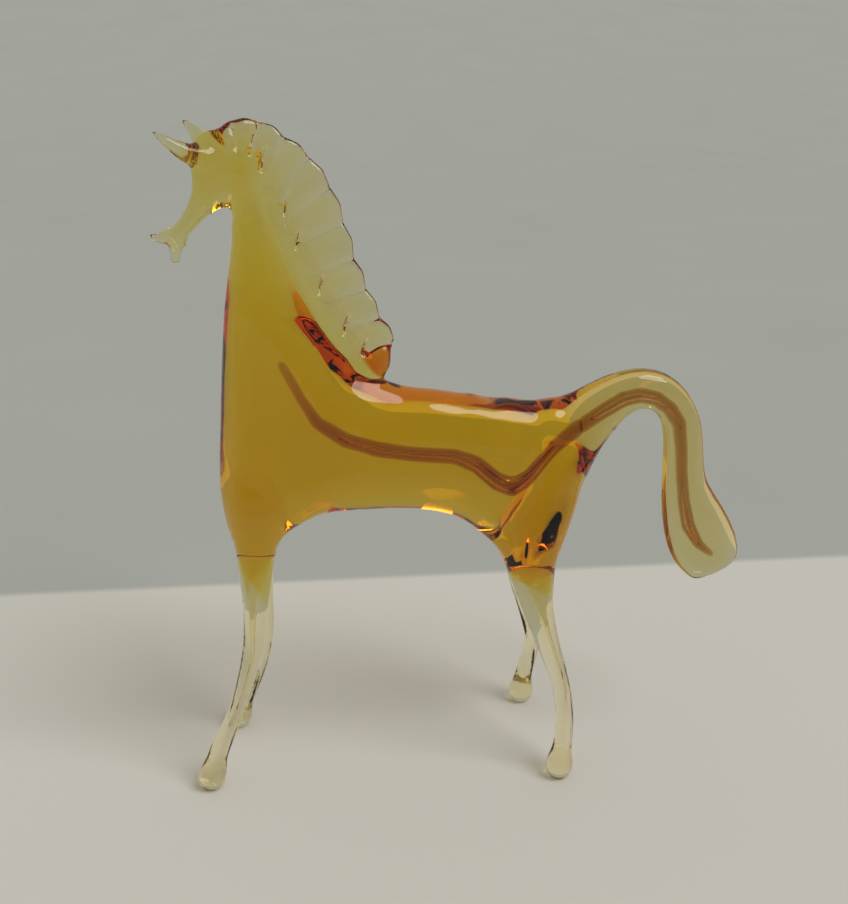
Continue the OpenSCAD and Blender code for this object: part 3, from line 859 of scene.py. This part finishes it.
class HORSE_OT_trims(bpy.types.Operator):
    """Ears, lips, mane and the bit on the withers"""
    bl_idname = "horse.trims"
    bl_label = "Ears, lips and mane"

    def execute(self, context):
        shape = context.scene.horse_shape
        for name in ("near_ear", "far_ear", "upper_lip", "lower_lip"):
            cells, _, values = melted((name,), shape.trim_melt / MM)
            fuse(cells, values, shape.trim_fillet / MM)
        cells, _, values = melted(("mane",), shape.trim_melt / MM)
        fuse(cells, values, shape.mane_fillet / MM)
        cells, _, values = melted(("withers_bit",), shape.trim_melt / MM)
        fuse(cells, values, shape.trim_fillet / MM)
        depth = shape.crimp_depth / MM
        for k, (rim, foot) in enumerate(MANE_CRIMPS):
            rim, foot = np.array(rim, float), np.array(foot, float)
            press_line(rim, foot, CRIMP_REACH, depth, 1 if k % 2 else -1)
            press_line(rim, rim + (foot - rim) * NOTCH_RUN, NOTCH_REACH, NOTCH_SHARE * depth)
        for a, b in zip(MANE_CRIMPS[:-1], MANE_CRIMPS[1:]):
            rim = (np.array(a[0]) + np.array(b[0])) / 2
            foot = (np.array(a[1]) + np.array(b[1])) / 2
            press_line(rim, foot, PUFF_REACH, -PUFF_SHARE * depth)
        # the tweezers bit deepest at the crest
        for x, z, long in TWEEZER_MARKS:
            press_line((x + 0.35 * long, z + long), (x, z), *UPPER_BITE)
            press_line((x, z), (x - 0.1 * long, z - 0.7 * long), *DEEP_BITE)
        return {"FINISHED"}


class HORSE_OT_marks(bpy.types.Operator):
    """Marks that the tools left on the back, the flank, the ear's root and the tail's root"""
    bl_idname = "horse.marks"
    bl_label = "Tool marks"

    def execute(self, context):
        for centre, reach, depth in TOOL_MARKS:
            press(centre, reach, depth)
        return {"FINISHED"}


class HORSE_OT_skin(bpy.types.Operator):
    """The glass's skin, divided into the pieces that it was built from"""
    bl_idname = "horse.skin"
    bl_label = "Glass skin"

    def execute(self, context):
        glass = context.scene.horse_glass
        made["skin"] = skin_of_field()
        made["pieces"] = {}
        self.divide()
        finishes = {
            "amber_gather": ("fire_polished_amber_glass", glass.body_tint, glass.strength),
            "pale_amber": ("fire_polished_head_glass", glass.head_tint, glass.strength),
            "mane_glass": ("crimped_mane_glass", glass.mane_tint, glass.strength),
            "dark_amber": ("fire_polished_withers_glass", glass.bit_tint, glass.bit_strength),
            "pulled_leg_glass": ("pulled_straw_glass", glass.leg_tint, glass.strength),
            "tail_glass": ("pulled_tail_glass", glass.tail_tint, glass.strength)}
        finishes = {slot: fire_polished_glass(*finish) for slot, finish in finishes.items()}
        slots = {row["node"]: row["material_slot"] for row in frame["record"]["subparts"]}
        for name, piece in made["pieces"].items():
            slot = slots[name]
            set_piece(name, glass_mesh(name, piece), finishes[slot])
        return {"FINISHED"}

    def divide(self):
        """Parts the skin where the glassmaker joined one gather, bit or pulled rod to the next."""
        def near(centre, direction, reach):
            return half_ball(made["skin"].points, centre, direction, reach)

        height, direction = near((-84.0, -4.7, 211.3), (-0.9, -0.3, 0.3), 18)
        take("near_ear", np.minimum(height, 0.5 - made["skin"].points[:, 1]), direction)
        take("far_ear", *near((-82.8, 5.1, 216.6), (-0.62, 0.25, 0.74), 14))
        take("upper_lip", *near((-92.8, 0, 187.0), (-1, 0, 0), 12))
        take("lower_lip", *near((-90.2, 0, 183.4), (-0.2, 0, -0.98), 12))
        height, direction = self.above_crest()
        take("mane", height, direction)
        # the bit on the withers is the lower end of what stands on the crest
        made["skin"], body = made["pieces"].pop("mane"), made["skin"]
        take("withers_bit", *plane((-31.5, 0, 147.8), (0.45, 0, -0.89)))
        made["pieces"]["mane"], made["skin"] = made["skin"], body
        height, direction = seam((-70.5, 218.3), (-73.2, 195.0), (-1, 0))
        throat = plane((-73.2, 0, 194.2), (-0.77, 0, 0.64))[0]
        take("head", np.minimum(height, throat), direction)
        down = np.array([0.0, 0.0, -1.0])
        for foot in ("near_fore_foot", "far_fore_foot", "near_hind_foot", "far_hind_foot"):
            lo, hi = np.array(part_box(foot)) / MM
            middle = (lo + hi) / 2
            take(foot, *near((middle[0], middle[1], hi[2] - FOOT_CUT), down, FOOT_REACH))
        # each leg is joined on a slant, with the body's amber drawn down its back
        height, direction = seam((-79.5, 92.0), (-67.0, 58.0), (-1, 0))
        take("near_fore_leg", height, direction)
        height, direction = seam((13.0, 75.0), (33.0, 60.0), (0, -1))
        x = made["skin"].points[:, 0]
        take("near_hind_leg", np.minimum(height, np.minimum(x - 5, 58 - x)), direction)
        part("near_fore_leg", "far_fore_leg", 1)
        part("near_hind_leg", "far_hind_leg", 1)
        height, direction = seam((84.6, 99.5), (68.6, 94.5), (0, -1))
        take("tail_paddle", np.minimum(height, made["skin"].points[:, 0] - 60), direction)
        height, direction = seam((75.3, 131.6), (66.8, 120.8), (1, 0))
        take("tail_fall", np.minimum(height, made["skin"].points[:, 0] - 58), direction)
        take("tail_arch", *seam((52.0, 139.6), (54.5, 124.0), (1, 0)))
        height, direction = seam((31.5, 131.0), (39.6, 104.0), (1, 0))
        take("tail_root", np.minimum(height, made["skin"].points[:, 2] - 98), direction)
        take("croup", *seam((8.3, 132.7), (-5.0, 91.2), (1, 0)))
        take("barrel", *seam((-12.0, 135.4), (-51.0, 93.0), (1, 0)))
        made["pieces"]["neck_and_chest"] = made["skin"]

    def above_crest(self):
        """Height of the skin's points above the crest of the neck, along which the mane stands."""
        flat = made["skin"].points[:, [0, 2]]
        height = height_above(flat, CREST)
        height = np.minimum(height - CREST_MARGIN, MANE_BACK - flat[:, 0])
        return height, np.array(MANE_FACING)


class HORSE_OT_thread(bpy.types.Operator):
    """Brown thread of glass inside the body and the tail"""
    bl_idname = "horse.thread"
    bl_label = "Brown thread"

    def execute(self, context):
        glass, shape = context.scene.horse_glass, context.scene.horse_shape
        material = cased_thread_glass("cased_brown_glass", glass.thread_tint, glass.thread_strength)
        for name in ("body_streak", "tail_streak"):
            points, triangles = cad_triangles((name,))
            grid = distance_grid(points, triangles, THREAD_CELL)
            lo = [int(k) for k in np.floor(points.min(0) / THREAD_CELL) - THREAD_MARGIN]
            hi = [int(k) for k in np.ceil(points.max(0) / THREAD_CELL) + THREAD_MARGIN]
            values = np.empty([b - a + 1 for a, b in zip(lo, hi)], np.float32)
            grid.copyToArray(values, ijk=lo)
            grid.copyFromArray(blur(values, THREAD_MELT) - shape.thread_swell / MM, ijk=lo)
            points, quads = grid.convertToQuads(isovalue=0.0)
            quads = quads.astype(np.int64)[:, ::-1]
            triangles = np.concatenate([quads[:, [0, 1, 2]], quads[:, [0, 2, 3]]])
            mesh = bpy.data.meshes.new(name + "_glass")
            mesh.from_pydata((points.astype(np.float64) * MM).tolist(), [], triangles.tolist())
            mesh.shade_smooth()
            set_piece(name, mesh, material)
        return {"FINISHED"}


# The stage, in metres unless it says otherwise
FLOOR_HALF, FLOOR_SQUARES = 6.0, 60   # half the floor's side, and its squares along it
FLOOR_DROP = 0.00005                  # keeps the floor just under the feet
SWEEP_START, SWEEP_RISE = 2.0, 0.06   # where the cloth starts to rise, and how fast
ROOM_FRONT, ROOM_BACK = 0.55, 1.0     # light from the room in front of the horse and behind it
WINDOW_PLACE = (0.4, -0.3, 0.6)
WINDOW_COLOUR = (1.0, 0.97, 0.94)
CAMERA_PLACE = (-0.05174, -0.35906, 0.24488)
CAMERA_TILT, CAMERA_TURN = 70, -6     # degrees up from straight down, and round the vertical
LENS, FILM_WIDTH = 45.8, 36           # millimetres
BOUNCES = 24                          # surfaces that light may cross inside the glass
OPEN_BOUNCES = 16


class HORSE_OT_stage(bpy.types.Operator):
    """Paper floor, soft window light and the camera"""
    bl_idname = "horse.stage"
    bl_label = "Stage"

    def execute(self, context):
        scene, stage = context.scene, context.scene.horse_stage
        self.lay_floor(scene)
        self.light_room(scene, stage)
        self.open_window(scene, stage)
        self.set_camera(scene)
        scene.view_settings.view_transform = "Standard"
        scene.cycles.max_bounces = BOUNCES
        scene.cycles.transmission_bounces = BOUNCES
        scene.cycles.transparent_max_bounces = OPEN_BOUNCES
        return {"FINISHED"}

    def lay_floor(self, scene):
        """The paper on the cloth, which sweeps up into a backdrop behind the table; in front of the
        paper the floor is cloth grey, which is painted shade.
        """
        bm = bmesh.new()
        bmesh.ops.create_grid(
            bm, x_segments=FLOOR_SQUARES, y_segments=FLOOR_SQUARES, size=FLOOR_HALF)
        for vert in bm.verts:
            vert.co.z = SWEEP_RISE * max(0.0, vert.co.y - SWEEP_START) ** 2
        for face in bm.faces:
            face.smooth = True
        mesh = bpy.data.meshes.new("paper_floor")
        bm.to_mesh(mesh)
        bm.free()
        mesh.materials.append(paper_cloth_and_shade())
        floor = bpy.data.objects.new("paper_floor", mesh)
        floor.location.z = -FLOOR_DROP
        scene.collection.objects.link(floor)

    def light_room(self, scene, stage):
        """Light from all round, brighter behind the horse than in front of it."""
        world = bpy.data.worlds.new("soft_room")
        scene.world = world
        tree = empty_tree(world)
        place = add_node(tree, "ShaderNodeTexCoord")
        split = add_node(tree, "ShaderNodeSeparateXYZ", None,
                         {"Vector": place.outputs["Generated"]})
        level = add_node(tree, "ShaderNodeMapRange",
                         {"interpolation_type": "SMOOTHSTEP", "From Min": -0.9, "From Max": 0.0,
                          "To Min": ROOM_FRONT, "To Max": ROOM_BACK},
                         {"Value": split.outputs["Y"]})
        room = add_node(tree, "ShaderNodeBackground", {"Color": (*stage.room, 1)},
                        {"Strength": level.outputs["Result"]})
        add_node(tree, "ShaderNodeOutputWorld", None, {"Surface": room.outputs["Background"]})

    def open_window(self, scene, stage):
        """Soft light from a window, high in front and to the right."""
        window = bpy.data.lights.new("window", "SUN")
        window.energy = stage.window_strength
        window.angle = stage.window_width
        window.color = WINDOW_COLOUR
        lamp = bpy.data.objects.new("window", window)
        lamp.location = WINDOW_PLACE
        lamp.rotation_euler = (-lamp.location).to_track_quat("-Z", "Y").to_euler()
        scene.collection.objects.link(lamp)

    def set_camera(self, scene):
        """The camera, a little above the horse's back and looking down on it."""
        data = bpy.data.cameras.new("viewpoint")
        data.lens = LENS
        data.sensor_width = FILM_WIDTH
        camera = bpy.data.objects.new("viewpoint", data)
        camera.location = CAMERA_PLACE
        camera.rotation_euler = (math.radians(CAMERA_TILT), 0, math.radians(CAMERA_TURN))
        scene.collection.objects.link(camera)
        scene.camera = camera


class HORSE_PT_panel(bpy.types.Panel):
    """The sizes and colours that can be changed, and the steps that use them"""
    bl_idname = "HORSE_PT_panel"
    bl_label = "Glass Horse"
    bl_space_type = "VIEW_3D"
    bl_region_type = "UI"
    bl_category = "Glass Horse"

    def draw(self, context):
        scene = context.scene
        for group in (scene.horse_shape, scene.horse_glass, scene.horse_stage):
            box = self.layout.box()
            for key in group.__annotations__:
                box.prop(group, key)
        for step in STEPS:
            self.layout.operator(step.bl_idname)


STEPS = (HORSE_OT_stage, HORSE_OT_gather, HORSE_OT_tail, HORSE_OT_legs, HORSE_OT_trims,
         HORSE_OT_marks, HORSE_OT_skin, HORSE_OT_thread)
CLASSES = (HorseShape, HorseGlass, HorseStage, *STEPS, HORSE_PT_panel)


def register():
    for cls in CLASSES:
        bpy.utils.register_class(cls)
    bpy.types.Scene.horse_shape = bpy.props.PointerProperty(type=HorseShape)
    bpy.types.Scene.horse_glass = bpy.props.PointerProperty(type=HorseGlass)
    bpy.types.Scene.horse_stage = bpy.props.PointerProperty(type=HorseStage)


def unregister():
    del bpy.types.Scene.horse_stage
    del bpy.types.Scene.horse_glass
    del bpy.types.Scene.horse_shape
    for cls in reversed(CLASSES):
        bpy.utils.unregister_class(cls)


def main():
    register()
    bpy.ops.horse.stage()
    bpy.ops.horse.gather()
    bpy.ops.horse.tail()
    bpy.ops.horse.legs()
    bpy.ops.horse.trims()
    bpy.ops.horse.marks()
    bpy.ops.horse.skin()
    bpy.ops.horse.thread()


if __name__ == "__main__":
    main()
